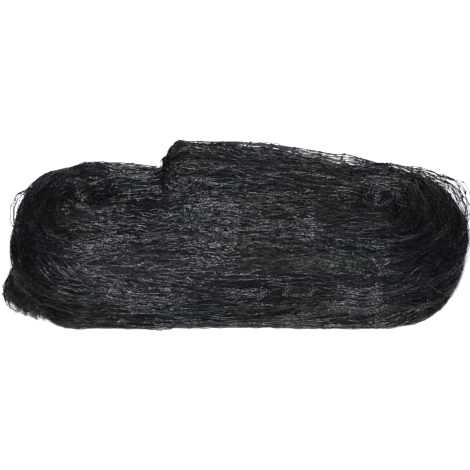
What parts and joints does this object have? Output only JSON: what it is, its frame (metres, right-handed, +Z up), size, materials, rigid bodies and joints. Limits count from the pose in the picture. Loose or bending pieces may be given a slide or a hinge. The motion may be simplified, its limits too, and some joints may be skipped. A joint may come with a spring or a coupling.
{
  "type": "bird netting hank",
  "caption": "Fine black bird netting gathered into a soft band and wound into a flat oblong hank with a blunt tail at the back.",
  "frame": {"origin": "on the surface that the hank rests on, under the middle of its box", "axes": "+X along the hank towards the end that the tail runs to, +Z up through its height, -Y its broad front"},
  "size_m": [0.3562, 0.1454, 0.074],
  "materials": {
    "black_net": "thin black polyethylene twine, slightly glossy"
  },
  "bodies": {
    "root": {"net_hank": "black_net"}
  },
  "joints": []
}
